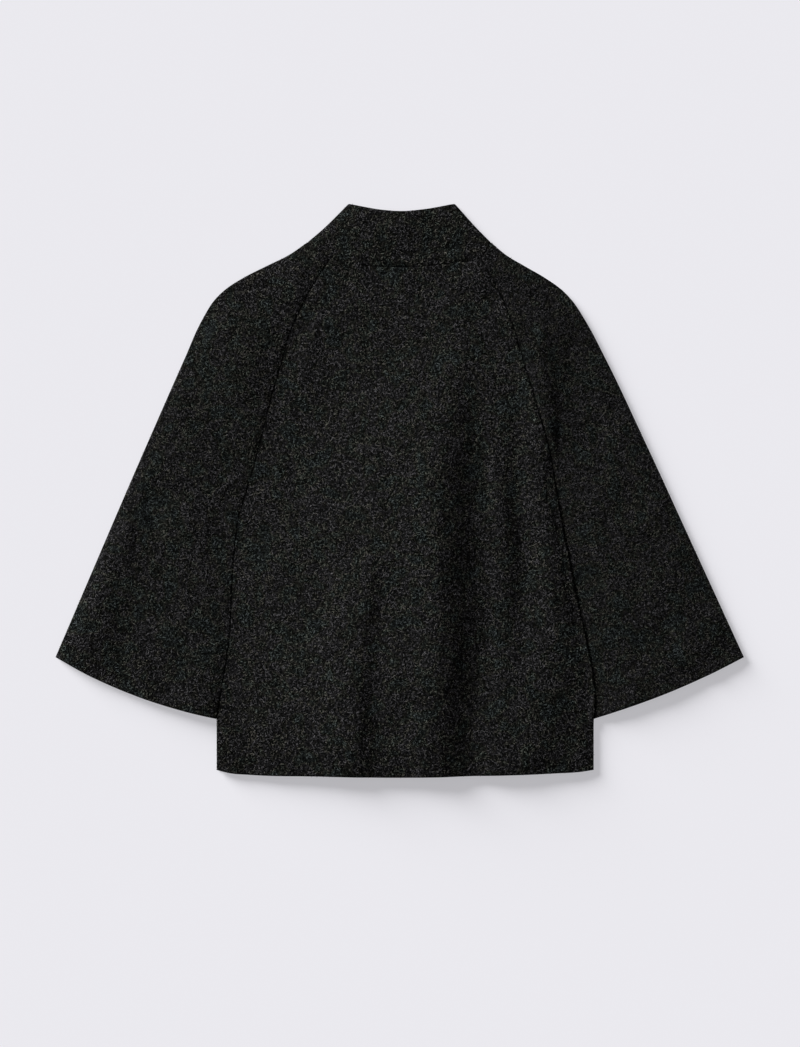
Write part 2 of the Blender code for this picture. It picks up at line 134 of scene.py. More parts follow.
# Shallow hollows where the cloth underneath doesn't quite touch the floor: reach on both sides, and depth
FLOOR_HOLLOWS = [
    [Crest(-150, 190, 14, 18, 0.0), Crest(-128, 120, 18, 20, 0.7), Crest(-118, 40, 14, 18, 0.0)],
    [
        Crest(60, 30, 16, 22, 0.0),
        Crest(78, -60, 22, 26, 0.9),
        Crest(70, -210, 20, 24, 0.6),
        Crest(76, -380, 18, 24, 0.7),
    ],
    [Crest(-140, -60, 18, 14, 0.0), Crest(-128, -170, 22, 18, 0.8), Crest(-134, -380, 18, 18, 0.5)],
    [Crest(150, 180, 12, 16, 0.0), Crest(122, 96, 16, 16, 0.8), Crest(104, 50, 12, 14, 0.0)],
    [
        Crest(-300, 60, 16, 16, 0.0),
        Crest(-318, -40, 20, 18, 0.8),
        Crest(-352, -170, 18, 20, 0.6),
        Crest(-366, -260, 16, 16, 0.4),
    ],
    [Crest(262, 90, 12, 14, 0.0), Crest(292, 0, 18, 18, 0.7), Crest(308, -80, 14, 16, 0.0)],
    [Crest(330, -90, 14, 16, 0.0), Crest(352, -170, 18, 16, 0.7), Crest(358, -270, 18, 16, 0.5)],
]


def smooth(points):
    """A smooth curve through the points, as CURVE_STEPS short chords for each span"""
    knots = np.array(points, dtype=float)[:, :2]
    spans = np.linalg.norm(np.diff(knots, axis=0), axis=1)
    times = np.concatenate([[0.0], np.cumsum(spans)])
    slopes = np.gradient(knots, times, axis=0)
    step = np.linspace(0.0, 1.0, CURVE_STEPS, endpoint=False)[:, None]
    pieces = []
    for start, end, slope_in, slope_out, span in zip(knots, knots[1:], slopes, slopes[1:], spans):
        pieces.append(
            (2 * step**3 - 3 * step**2 + 1) * start
            + (step**3 - 2 * step**2 + step) * span * slope_in
            + (3 * step**2 - 2 * step**3) * end
            + (step**3 - step**2) * span * slope_out
        )
    return np.concatenate(pieces + [knots[-1:]])


def length_of(curve):
    """Length of a curve, chord by chord"""
    return np.linalg.norm(np.diff(curve, axis=0), axis=1).sum()


def along(curve, shares):
    """Points at these shares of a curve's length"""
    lengths = np.concatenate([[0.0], np.cumsum(np.linalg.norm(np.diff(curve, axis=0), axis=1))])
    places = np.asarray(shares) * lengths[-1]
    return np.stack([np.interp(places, lengths, curve[:, axis]) for axis in (0, 1)], axis=-1)


def divide(length, steps, start_gap=0.0, end_gap=0.0):
    """Shares of a length: the rim's rings at both of its ends, and even steps between"""
    low = start_gap + RIM_RINGS
    high = length - end_gap - RIM_RINGS[::-1]
    inside = np.linspace(low[-1], high[0], steps + 1)[1:-1]
    return np.concatenate([low, inside, high]) / length


def spread_between(start, end, first_edge, last_edge, rows, columns):
    """Places on a panel. Each row is ruled from a start point to an end point, and is bowed so that the
    first and the last rows run like the panel's end curves."""

    def ruled(low, high):
        """Places on the straight lines from low to high"""
        return low * (1 - columns[..., None]) + high * columns[..., None]

    ends = np.array([0.0, 1.0])
    first_bow = first_edge(columns) - ruled(*first_edge(ends))
    last_bow = last_edge(columns) - ruled(*last_edge(ends))
    share = rows[:, None, None]
    return ruled(start[:, None], end[:, None]) + (1 - share) * first_bow + share * last_bow


def column_shares(start, end, steps, start_gap=0.0, end_gap=0.0):
    """Where the columns of a panel's mesh cross each of its rows, as shares of the row's length"""
    widths = np.linalg.norm(end - start, axis=1)
    return np.array([divide(width, steps, start_gap, end_gap) for width in widths])


def nearest_on(crests, x, y):
    """For each place: its signed distance from a crest line, and the line's two reaches and height there"""
    table = np.array(crests, dtype=float)
    best = np.full(x.shape, np.inf)
    distance = np.zeros(x.shape)
    values = np.zeros(x.shape + (3,))
    for low, high in zip(table, table[1:]):
        run_x, run_y = high[0] - low[0], high[1] - low[1]
        share = ((x - low[0]) * run_x + (y - low[1]) * run_y) / (run_x**2 + run_y**2)
        share = np.clip(share, 0.0, 1.0)
        off_x = x - low[0] - share * run_x
        off_y = y - low[1] - share * run_y
        away = np.hypot(off_x, off_y)
        closer = away < best
        side = np.where(run_x * off_y - run_y * off_x < 0, -1.0, 1.0)
        best = np.where(closer, away, best)
        distance = np.where(closer, side * away, distance)
        row = low[2:] + share[..., None] * (high[2:] - low[2:])
        values = np.where(closer[..., None], row, values)
    return distance, values


def beside(crests, x, y):
    """For each place: its distance from a crest line as a share of the reach there, and the height there"""
    distance, values = nearest_on(crests, x, y)
    reach = np.where(distance < 0, values[..., 0], values[..., 1])
    return np.clip(np.abs(distance) / reach, 0.0, 1.0), values[..., 2]


def ridge(crests, x, y):
    """Height of a soft ridge along a crest line, or of a trough where its height is negative"""
    share, height = beside(crests, x, y)
    return height * 0.5 * (1 + np.cos(math.pi * share))


def from_edges(grid):
    """How far the points of a grid are from each of its four edges: first and last row, and column"""
    edges = (grid[:1], grid[-1:], grid[:, :1], grid[:, -1:])
    return [np.linalg.norm(grid - edge, axis=-1) for edge in edges]


def cell_corners(grid):
    """The four corners of every cell of a grid, going round the cell"""
    return grid[:-1, :-1], grid[:-1, 1:], grid[1:, 1:], grid[1:, :-1]


def in_scene(name, data):
    """A new object of the scene"""
    thing = bpy.data.objects.new(name, data)
    bpy.context.collection.objects.link(thing)
    return thing


def as_piece(name, data):
    """A mesh as a piece of the jacket"""
    piece = in_scene(name, data)
    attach(piece, "root")
    return piece


def closed_cloth(name, outer, inner, material):
    """One closed piece of cloth between two matching grids, with a rim as round as the cloth is thick"""
    middle = (outer + inner) / 2
    half_wall = np.linalg.norm(outer - inner, axis=-1) / 2
    depth = np.minimum(np.min(from_edges(middle), axis=0) / half_wall, 1.0)
    round_share = np.sqrt(1 - (1 - depth) ** 2)[..., None]
    rows, columns = outer.shape[:2]
    index = np.arange(rows * columns).reshape(rows, columns)
    lower_index = index + rows * columns
    lower_index[[0, -1]] = index[[0, -1]]
    lower_index[:, [0, -1]] = index[:, [0, -1]]
    skins = [middle + (grid - middle) * round_share for grid in (outer, inner)]
    mesh = bmesh.new()
    for point in np.concatenate([skin.reshape(-1, 3) for skin in skins]) * MM:
        mesh.verts.new(point)
    mesh.verts.ensure_lookup_table()
    points = mesh.verts
    for grid in (index, lower_index):
        quads = np.stack(cell_corners(grid), axis=-1)
        for quad in quads.reshape(-1, 4).tolist():
            mesh.faces.new([points[number] for number in quad])
    loose = [vert for vert in mesh.verts if not vert.link_faces]
    bmesh.ops.delete(mesh, geom=loose, context="VERTS")
    bmesh.ops.recalc_face_normals(mesh, faces=mesh.faces[:])
    data = bpy.data.meshes.new(name)
    mesh.to_mesh(data)
    mesh.free()
    data.shade_smooth()
    data.materials.append(material)
    return as_piece(name, data), skins[0]


def raised(plan, height):
    """A plan with a height for each of its places"""
    return np.dstack([plan, np.broadcast_to(height, plan.shape[:2])])


def bottom_cloth(name, plan):
    """A panel that lies on the floor. Its hollows are in its underside, and its upper side stays flat."""
    x, y = plan[..., 0], plan[..., 1]
    hollow = sum(ridge(crests, x, y) for crests in FLOOR_HOLLOWS)
    return closed_cloth(name, raised(plan, hollow), raised(plan, WALL), plain_boucle)[0]


def body_side(raglan, underarm, hem_corner, first):
    """Side of a body panel: down the raglan seam, beside the sleeve, and down below the sleeve to the hem"""
    return np.concatenate([smooth(raglan + underarm)[first * CURVE_STEPS :], [hem_corner]])


def to_centre(points, centre_y, sign):
    """The part of a curve from one side to the centre front, where it stops half a gap short"""
    one_side = [point for point in points[::-sign] if (point.x - CENTRE) * sign > CENTRE_ROOM]
    return smooth(one_side + [Point(CENTRE + sign * SEAM_GAP / 2, centre_y)])


def front(name, raglan, underarm, hem_corner, sign):
    """One of the two fronts: from its side to the centre, and from the neck down to the hem"""
    side = body_side(raglan, underarm, hem_corner, 1)
    rows = divide(length_of(side), FRONT_MESH[0])
    outside = along(side, rows)
    neck = to_centre(FRONT_NECK_SEAM, FRONT_NECK - SEAM_GAP / 2, sign)[CURVE_STEPS:]
    hem = to_centre(HEM, HEM_LOWEST, sign)
    inside = along(np.array([neck[-1], hem[-1]]), rows)
    plan = spread_between(
        outside,
        inside,
        lambda share: along(neck, share),
        lambda share: along(hem, share),
        rows,
        column_shares(outside, inside, FRONT_MESH[1], start_gap=SEAM_GAP / 2),
    )
    return bottom_cloth(name, plan)


def put(tree, kind, inputs, **settings):
    """A shader node with these settings. Each input is a value, or the output that feeds it."""
    node = tree.nodes.new(f"ShaderNode{kind}")
    for setting, value in settings.items():
        setattr(node, setting, value)
    for socket, value in inputs.items():
        if isinstance(value, bpy.types.NodeSocket):
            tree.links.new(value, node.inputs[socket])
        else:
            node.inputs[socket].default_value = value
    return node


def maths(tree, operation, *values):
    """The result of one operation on values or outputs"""
    return put(tree, "Math", dict(enumerate(values)), operation=operation).outputs[0]


def fade(tree, value, start, end, low=0.0, high=1.0):
    """A soft passage from low, where the value is at its start, to high, where it is at its end"""
    places = {"Value": value, "From Min": start, "From Max": end, "To Min": low, "To Max": high}
    return put(tree, "MapRange", places, interpolation_type="SMOOTHSTEP").outputs["Result"]


def blend(tree, way, factor, first, second):
    """Two colours mixed in this way"""
    colours = {0: factor, 6: first, 7: second}
    return put(tree, "Mix", colours, data_type="RGBA", blend_type=way).outputs[2]


def effect(name, inputs, outputs):
    """An empty shader node group with these sockets, and the nodes at its two ends"""
    group = bpy.data.node_groups.new(name, "ShaderNodeTree")
    for label, (kind, value) in inputs.items():
        socket = group.interface.new_socket(label, in_out="INPUT", socket_type=kind)
        socket.default_value = value
    for label, kind in outputs.items():
        group.interface.new_socket(label, in_out="OUTPUT", socket_type=kind)
    return group, group.nodes.new("NodeGroupInput"), group.nodes.new("NodeGroupOutput")


def place(tree, group, values):
    """A group in a material, with this material's own values"""
    return put(tree, "Group", values, node_tree=group)


# Places on a slow drift, and the tints there as factors for the yarn's red, green and blue
TINT_STOPS = (
    (0.30, (0.84, 1.06, 1.08, 1)),
    (0.38, (0.86, 1.10, 1.00, 1)),
    (0.43, (0.96, 1.10, 0.86, 1)),
    (0.48, (1.10, 1.06, 0.84, 1)),
    (0.54, (1.02, 1.00, 1.06, 1)),
    (0.62, (1.03, 1.00, 1.07, 1)),
    (0.70, (1.10, 1.05, 0.86, 1)),
)
CURL_LAYERS = ((0, 0, 0), (0.31, 0.17, 0.23))  # how far each layer's noise is shifted
CONTOUR = 0.5  # the level of a noise whose contours are the curls, which another noise breaks up
CURL_DISTORTION = 0.6
WHOLE_CURL = 0.58  # the level of that other noise from which a curl is whole
FUZZ_SCALE = 900.0
FUZZ_HEIGHT = 0.35  # of the height of a curl


def yarn_tints():
    """The melange of the yarn: patches of teal, green and olive that drift over a violet grey"""
    group, start, end = effect(
        "Yarn tints",
        {
            "Yarn": ("NodeSocketColor", (0.02, 0.02, 0.02, 1)),
            "Patch size mm": ("NodeSocketFloat", 30.0),
            "Strength": ("NodeSocketFloat", 1.0),
        },
        {"Color": "NodeSocketColor"},
    )
    on_cloth = put(group, "TexCoord", {}).outputs["Object"]
    scale = maths(group, "DIVIDE", 1 / MM, start.outputs["Patch size mm"])
    drift = put(group, "TexNoise", {"Vector": on_cloth, "Scale": scale, "Detail": 2.0}).outputs["Fac"]
    ramp = put(group, "ValToRGB", {0: drift})
    stops = ramp.color_ramp.elements
    stops[0].position, stops[0].color = TINT_STOPS[0]
    stops[1].position, stops[1].color = TINT_STOPS[-1]
    for position, colour in TINT_STOPS[1:-1]:
        stops.new(position).color = colour
    tints, strength = ramp.outputs["Color"], start.outputs["Strength"]
    tinted = blend(group, "MULTIPLY", strength, start.outputs["Yarn"], tints)
    group.links.new(tinted, end.inputs["Color"])
    return group


def curled_yarn():
    """Curls of yarn as thin winding lines: two layers of noise contours, each broken up by another noise"""
    group, start, end = effect(
        "Curled yarn",
        {
            "Curl size mm": ("NodeSocketFloat", 5.0),
            "Width": ("NodeSocketFloat", 0.05),
            "Break": ("NodeSocketFloat", 0.45),
        },
        {"Curls": "NodeSocketFloat", "Height": "NodeSocketFloat"},
    )
    on_cloth = put(group, "TexCoord", {}).outputs["Object"]
    scale = maths(group, "DIVIDE", 1 / MM, start.outputs["Curl size mm"])
    layers = []
    for shift in CURL_LAYERS:
        moved = put(group, "VectorMath", {0: on_cloth, 1: shift}, operation="ADD").outputs[0]
        winding = {"Vector": moved, "Scale": scale, "Detail": 1.0, "Distortion": CURL_DISTORTION}
        noise = put(group, "TexNoise", winding).outputs["Fac"]
        from_line = maths(group, "ABSOLUTE", maths(group, "SUBTRACT", noise, CONTOUR))
        line = fade(group, from_line, 0.0, start.outputs["Width"], low=1.0, high=0.0)
        patches = put(group, "TexNoise", {"Vector": moved, "Scale": scale, "Detail": 0.0}).outputs["Color"]
        level = put(group, "SeparateColor", {"Color": patches}).outputs["Green"]
        whole = fade(group, level, start.outputs["Break"], WHOLE_CURL)
        layers.append(maths(group, "MULTIPLY", line, whole))
    curls = maths(group, "MAXIMUM", *layers)
    group.links.new(curls, end.inputs["Curls"])
    fuzz = put(group, "TexNoise", {"Vector": on_cloth, "Scale": FUZZ_SCALE, "Detail": 2.0}).outputs["Fac"]
    height = maths(group, "ADD", curls, maths(group, "MULTIPLY", fuzz, FUZZ_HEIGHT))
    group.links.new(height, end.inputs["Height"])
    return group


YARN_TINTS = yarn_tints()
CURLED_YARN = curled_yarn()
WOOL_ROUGHNESS = 0.92
WOOL_SHINE = 0.03
WOOL_SHEEN = 0.004
WOOL_SHEEN_ROUGHNESS = 0.6
PATCH_MM = 19.0
TINT_STRENGTH = 0.75


def wool_shader(name):
    """A dull wool, its node tree, and its shader, whose colour and normal are left to be joined"""
    material = bpy.data.materials.new(name)
    material.use_nodes = True
    shader = material.node_tree.nodes["Principled BSDF"]
    shader.inputs["Roughness"].default_value = WOOL_ROUGHNESS
    shader.inputs["Specular IOR Level"].default_value = WOOL_SHINE
    shader.inputs["Sheen Weight"].default_value = WOOL_SHEEN
    shader.inputs["Sheen Roughness"].default_value = WOOL_SHEEN_ROUGHNESS
    return material, material.node_tree, shader


def tint(tree, yarn, shader):
    """Joins a yarn's colour to a wool's shader, by way of the melange's patches"""
    tinted = place(tree, YARN_TINTS, {"Yarn": yarn, "Patch size mm": PATCH_MM, "Strength": TINT_STRENGTH})
    tree.links.new(tinted.outputs["Color"], shader.inputs["Base Color"])


def boucle(name, ground, yarn, curls, bump_mm):
    """Boucle cloth: curls of yarn on a dark ground"""
    material, tree, shader = wool_shader(name)
    curled = place(tree, CURLED_YARN, curls)
    mixed = blend(tree, "MIX", curled.outputs["Curls"], (*ground, 1), (*yarn, 1))
    tint(tree, mixed, shader)
    bump = put(tree, "Bump", {"Height": curled.outputs["Height"], "Distance": bump_mm * MM, "Strength": 1.0})
    tree.links.new(bump.outputs["Normal"], shader.inputs["Normal"])
    return material


plain_boucle = boucle(
    "boucle, underneath",
    ground=(0.0045, 0.0047, 0.0046),
    yarn=(0.034, 0.035, 0.034),
    curls={"Curl size mm": 5.0, "Width": 0.055, "Break": 0.42},
    bump_mm=1.0,
)

SIDES = {
    "left": (LEFT_RAGLAN, LEFT_UNDERARM, HEM[0], -1),
    "right": (RIGHT_RAGLAN, RIGHT_UNDERARM, HEM[-1], 1),
}
for side, (raglan, underarm, hem_corner, sign) in SIDES.items():
    piece = front(f"front_{side}_cloth", raglan, underarm, hem_corner, sign)
    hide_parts(f"front_{side}")

# ==================================================================================================
# The front halves of the sleeves
# The same coating, underneath as well. Each runs from the neck over the shoulder to the cuff, and is sewn to
# its back half along the overarm, on the outline of the flat sleeve, and along the underarm.
# ==================================================================================================

SLEEVE_FRONT_MESH = (96, 34)  # rows down the sleeve, columns to its outline
HALF_SPAN = 430.6  # how far out the cuffs' tips are, where overarm and cuff meet
CUFF_TIP = -207.8  # Y of these tips
LEFT_OVERARM = [
    FRONT_NECK_SEAM[0],
    Point(-137.5, 296.0),
    Point(-167.5, 281.0),
    Point(-196.0, 266.5),
    Point(-219.5, 251.0),
    Point(-232.0, 238.5),
    Point(-247.5, 213.5),
    Point(-270.0, 163.5),
    Point(-314.0, 63.5),
    Point(-HALF_SPAN, CUFF_TIP),
]
RIGHT_OVERARM = [
    FRONT_NECK_SEAM[-1],
    Point(132.0, 296.0),
    Point(157.0, 281.0),
    Point(182.0, 266.5),
    Point(203.5, 251.0),
    Point(215.5, 238.5),
    Point(232.0, 213.5),
    Point(258.5, 163.5),
    Point(306.0, 63.5),
    Point(372.0, -80.0),
    Point(HALF_SPAN, CUFF_TIP),
]
LEFT_CUFF = [
    LEFT_UNDERARM[-1],
    Point(-265.0, -276.5),
    Point(-325.0, -258.0),
    Point(-385.0, -232.5),
    LEFT_OVERARM[-1],
]
RIGHT_CUFF = [
    RIGHT_UNDERARM[-1],
    Point(262.5, -278.5),
    Point(320.0, -258.3),
    Point(380.0, -233.0),
    RIGHT_OVERARM[-1],
]
SLEEVES = {
    "left": (LEFT_RAGLAN, LEFT_UNDERARM, LEFT_OVERARM, LEFT_CUFF),
    "right": (RIGHT_RAGLAN, RIGHT_UNDERARM, RIGHT_OVERARM, RIGHT_CUFF),
}


def half_sleeve(side, neck, first, mesh_size):
    """Places on one half of a sleeve: from its inner seam to the overarm, and from the neck to the cuff"""
    raglan, underarm, overarm, cuff = SLEEVES[side]
    seam = smooth(raglan + underarm)[first * CURVE_STEPS :]
    rows = divide(length_of(seam), mesh_size[0], start_gap=SEAM_GAP / 2)
    inside = along(seam, rows)
    outside = along(smooth(overarm), rows)
    neck_end = smooth(neck)[: CURVE_STEPS + 1]
    cuff_edge = smooth(cuff)
    return spread_between(
        inside,
        outside,
        lambda share: along(neck_end, 1 - share),
        lambda share: along(cuff_edge, share),
        rows,
        column_shares(inside, outside, mesh_size[1], start_gap=SEAM_GAP / 2),
    )


for side, from_left in (("left", 1), ("right", -1)):
    plan = half_sleeve(side, FRONT_NECK_SEAM[::from_left], 1, SLEEVE_FRONT_MESH)
    piece = bottom_cloth(f"sleeve_front_{side}_cloth", plan)
    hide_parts(f"sleeve_front_{side}")

# ==================================================================================================
# The back
# One piece of boucle coating, on top, that carries the jacket's folds. It is sewn to the sleeves along the
# raglan seams, and rests on the fronts between its folds.
# ==================================================================================================

BACK_MESH = (206, 146)  # rows down the back, columns across it
LOFT = 2.5  # air between the two layers away from seams and edges

# Lines that hold the cloth down: how far they reach to their left and right, and what share of its height
# they take. A crevice is the line where a sleeve lies beside the body.
OUTLINE_REACH = 28
CREVICE_REACH = {"left": (14, 34), "right": (20, 26)}
CREVICE_DEPTH = {"left": 0.4, "right": 0.9}
SEAM_SINK = (8, 8, 0.4)
HEM_SINK = (40, 40, 0.2)
CUFF_SINK = (30, 30, 0.05)

BACK_NECK = [
    LEFT_OVERARM[0],
    LEFT_RAGLAN[0],
    Point(-68.0, 285.5),
    Point(0.0, 280.0),
    Point(72.0, 286.0),
    RIGHT_RAGLAN[0],
    RIGHT_OVERARM[0],
]
COLLAR_TOP = 359.4
COLLAR_LEFT = [BACK_NECK[0], Point(-97.8, 326.2), Point(-64.0, COLLAR_TOP)]
COLLAR_RIGHT = [BACK_NECK[-1], Point(99.0, 326.2), Point(69.0, COLLAR_TOP)]

# The main folds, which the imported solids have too, most of them higher there. A row for each section:
# where the crest is, how far the ridge reaches to its left and right, and how high it stands. Where a crest
# runs to the right, the reaches are those below and above it.
FOLDS = {
    "long flute right of the centre": [
        Crest(62, 190, 80, 40, 0.0),
        Crest(54, 120, 130, 46, 4.6),
        Crest(46, 40, 190, 54, 9.0),
        Crest(44, -110, 220, 60, 11.0),
        Crest(44, -240, 220, 60, 11.0),
        Crest(42, -380, 200, 52, 4.6),
    ],
    "broad swell that it stands on": [
        Crest(70, 240, 130, 80, 0.0),
        Crest(58, 130, 180, 120, 3.6),
        Crest(50, 20, 240, 150, 4.8),
        Crest(46, -240, 240, 150, 4.6),
        Crest(44, -380, 240, 150, 2.4),
    ],
    "slender fold beside it": [
        Crest(124, 120, 24, 20, 0.0),
        Crest(122, 58, 24, 22, 2.2),
        Crest(128, -4, 28, 22, 4.0),
        Crest(130, -110, 28, 26, 4.0),
        Crest(131, -190, 26, 26, 3.4),
        Crest(128, -260, 22, 22, 0.0),
    ],
    "roll of the right side": [
        Crest(166, 240, 36, 20, 0.0),
        Crest(175, 160, 36, 24, 2.6),
        Crest(179, 95, 36, 22, 3.6),
        Crest(177, 45, 36, 24, 3.4),
        Crest(178, -20, 38, 34, 4.0),
        Crest(190, -110, 34, 38, 5.4),
        Crest(189, -210, 74, 48, 5.6),
        Crest(154, -290, 90, 88, 8.2),
        Crest(150, -380, 90, 92, 6.4),
    ],
    "low fold left of the hem's centre": [
        Crest(-38, -30, 60, 24, 0.0),
        Crest(-42, -100, 66, 24, 3.0),
        Crest(-50, -160, 76, 26, 4.8),
        Crest(-56, -270, 80, 30, 6.0),
        Crest(-58, -380, 76, 28, 4.6),
    ],
    "roll of the left side": [
        Crest(-120, 20, 60, 90, 0.0),
        Crest(-122, -60, 80, 90, 2.4),
        Crest(-124, -200, 86, 90, 4.2),
        Crest(-126, -380, 86, 90, 3.4),
    ],
    "inner side of the right sleeve": [
        Crest(226, 30, 30, 70, 0.0),
        Crest(244, -20, 40, 110, 0.6),
        Crest(262, -110, 44, 140, 2.2),
        Crest(286, -215, 44, 140, 2.6),
        Crest(296, -320, 44, 140, 2.4),
    ],
    "long fold of the left sleeve": [
        Crest(-330, 50, 34, 40, 0.0),
        Crest(-350, -10, 40, 48, 3.2),
        Crest(-384, -150, 44, 54, 3.7),
        Crest(-398, -250, 40, 54, 1.6),
    ],
    "inner side of the left sleeve": [
        Crest(-236, 70, 50, 36, 0.0),
        Crest(-250, 0, 80, 42, 1.4),
        Crest(-254, -110, 90, 40, 1.2),
        Crest(-262, -200, 104, 56, 2.2),
        Crest(-264, -300, 112, 84, 4.6),
    ],
    "left shoulder": [
        Crest(-214, 236, 40, 46, 0.0),
        Crest(-206, 190, 60, 56, 3.0),
        Crest(-204, 120, 60, 56, 2.8),
        Crest(-210, 70, 50, 50, 0.0),
    ],
    "roll above the neck seam": [
        Crest(-100, 309, 5, 6, 0.0),
        Crest(-83, 298, 6, 9, 0.7),
        Crest(0, 286, 6, 9, 0.6),
        Crest(80, 294, 6, 9, 0.8),
        Crest(104, 308, 5, 6, 0.0),
    ],
}

# Finer creases, which only these shells have: low ridges, and troughs with a negative height
CREASES = {
    "fine line down to the right underarm": [
        Crest(199, 134, 6, 7, 0.0),
        Crest(199, 98, 5, 7, -0.9),
        Crest(198, 62, 5, 7, -1.2),
        Crest(196, 32, 4, 6, 0.0),
    ],
    "sharp side of the long flute": [
        Crest(60, 170, 30, 36, 0.0),
        Crest(54, 120, 36, 46, 1.0),
        Crest(46, 40, 42, 54, 2.0),
        Crest(44, -110, 44, 60, 2.5),
        Crest(44, -240, 44, 60, 2.8),
        Crest(42, -380, 44, 52, 2.8),
    ],
    "second line beside the right raglan seam": [
        Crest(224, 214, 24, 60, 0.0),
        Crest(222, 170, 30, 160, -2.0),
        Crest(214, 130, 24, 160, -1.8),
        Crest(207, 95, 14, 160, -1.7),
        Crest(204, 62, 11, 120, -1.5),
        Crest(198, 30, 6, 8, 0.0),
    ],
    "soft hollow along the left raglan seam": [
        Crest(-112, 240, 16, 20, 0.0),
        Crest(-127, 200, 18, 24, -1.2),
        Crest(-141, 152, 18, 24, -1.6),
        Crest(-154, 107, 18, 24, -1.6),
        Crest(-165, 62, 18, 24, -1.5),
        Crest(-176, 10, 18, 24, -1.4),
        Crest(-190, -34, 16, 20, 0.0),
    ],
    "hollow under the left shoulder": [
        Crest(-226, 248, 6, 8, -1.4),
        Crest(-180, 254, 6, 8, -1.6),
        Crest(-128, 259, 5, 6, 0.0),
    ],
    "drag from the left underarm": [
        Crest(-186, 30, 7, 9, 0.0),
        Crest(-214, 8, 8, 10, 1.2),
        Crest(-246, -30, 10, 12, 0.0),
    ],
    "drag from the right underarm": [
        Crest(196, -8, 6, 8, 0.0),
        Crest(222, -34, 8, 10, 1.0),
        Crest(262, -96, 10, 12, 0.0),
    ],
    "left shoulder blade": [
        Crest(-84, 232, 12, 14, 0.0),
        Crest(-104, 176, 14, 16, -0.8),
        Crest(-112, 120, 12, 14, 0.0),
    ],
    "right shoulder blade": [
        Crest(84, 236, 12, 12, 0.0),
        Crest(104, 190, 14, 14, -0.9),
        Crest(118, 132, 12, 12, 0.0),
    ],
    "left sleeve above the cuff": [
        Crest(-286, -96, 10, 12, 0.0),
        Crest(-312, -150, 12, 14, 0.9),
        Crest(-332, -214, 10, 12, 0.0),
    ],
    "right sleeve at the elbow": [
        Crest(316, 6, 10, 14, 0.0),
        Crest(338, -44, 14, 18, 0.6),
        Crest(366, -120, 12, 14, 0.0),
    ],
    "right sleeve above the cuff": [
        Crest(330, -130, 12, 12, 0.0),
        Crest(340, -190, 14, 16, -0.9),
        Crest(338, -250, 12, 14, 0.0),
    ],
    "left half of the back": [
        Crest(-96, -40, 14, 20, 0.0),
        Crest(-104, -130, 18, 24, -0.9),
        Crest(-100, -230, 14, 18, 0.0),
    ],
    "above the hem at the right": [
        Crest(140, -262, 14, 14, 0.0),
        Crest(140, -310, 16, 16, -0.8),
        Crest(138, -370, 14, 14, -0.9),
    ],
    "collar, left of the centre": [
        Crest(-34, 352, 38, 34, 0.6),
        Crest(-38, 316, 42, 38, 1.7),
        Crest(-44, 286, 38, 34, 0.0),
    ],
    "collar, above the seam": [
        Crest(36, 297, 4, 5, 0.0),
        Crest(66, 303, 4, 5, -1.2),
        Crest(92, 311, 4, 5, -0.8),
        Crest(104, 318, 4, 5, 0.0),
    ],
}

# The cloth's own unevenness: how far apart its soft swells are, and how high
SWELLS_MM = ((64.0, 0.36), (27.0, 0.17), (13.0, 0.07))
SWELL_WAVES = 24
SWELL_STRETCH = (0.8, 1.5)  # shortest and longest wave, as shares of that distance
SWELL_SEED = 11

# How an edge stands up along its seam: the left sleeve's edge and the back's right edge
Lip = namedtuple("Lip", "reach raglan underarm")
LEFT_LIP = Lip(reach=30, raglan=0.0, underarm=0.4)
RIGHT_LIP = Lip(reach=10, raglan=1.1, underarm=2.5)


def crest_line(points, left, right, height):
    """A crest line through points, with the same reaches and height all along"""
    return [Crest(point.x, point.y, left, right, height) for point in points]


def pressed(crests, x, y):
    """What is left of the height beside a line that holds the cloth down: it rises like a round shoulder"""
    share, taken = beside(crests, x, y)
    return 1 - taken * (1 - share) ** 2


def press_lines():
    """Outline of sleeves and collar, the crevices beside the sleeves, the raglan seams, hem and cuffs"""
    lines = []
    for edge, collar in ((LEFT_OVERARM, COLLAR_LEFT), (RIGHT_OVERARM, COLLAR_RIGHT)):
        lines.append(crest_line(collar[:0:-1] + edge, OUTLINE_REACH, OUTLINE_REACH, 1.0))
    for side, (raglan, underarm, hem_corner, _) in SIDES.items():
        left, right = CREVICE_REACH[side]
        start = crest_line(raglan[-2:-1], left, right, 0.0)
        crevice = raglan[-1:] + underarm + [hem_corner]
        lines.append(start + crest_line(crevice, left, right, CREVICE_DEPTH[side]))
        lines.append(crest_line(raglan, *SEAM_SINK))
    for edge, sink in ((HEM, HEM_SINK), (LEFT_CUFF, CUFF_SINK), (RIGHT_CUFF, CUFF_SINK)):
        lines.append(crest_line(edge, *sink))
    return lines


def swells(x, y):
    """Soft, uneven swells: plane waves in all directions, the same for every panel because of the seed"""
    chance = np.random.default_rng(SWELL_SEED)
    shortest, longest = SWELL_STRETCH
    total = np.zeros(x.shape)
    for size, height in SWELLS_MM:
        for turn, shift, stretch in chance.random((SWELL_WAVES, 3)):
            wave = 2 * math.pi / (size * (shortest + (longest - shortest) * stretch))
            angle = math.pi * turn
            across = x * math.cos(angle) + y * math.sin(angle)
            total += height * math.sqrt(2 / SWELL_WAVES) * np.sin(wave * across + 2 * math.pi * shift)
    return total


def lie(plan):
    """Height of the upper layer's underside above the lower layer, less the gap"""
    x, y = plan[..., 0], plan[..., 1]
    height = LOFT + swells(x, y)
    for crests in (*FOLDS.values(), *CREASES.values()):
        height = height + ridge(crests, x, y)
    for line in press_lines():
        height = height * pressed(line, x, y)
    return np.maximum(height, 0.0)


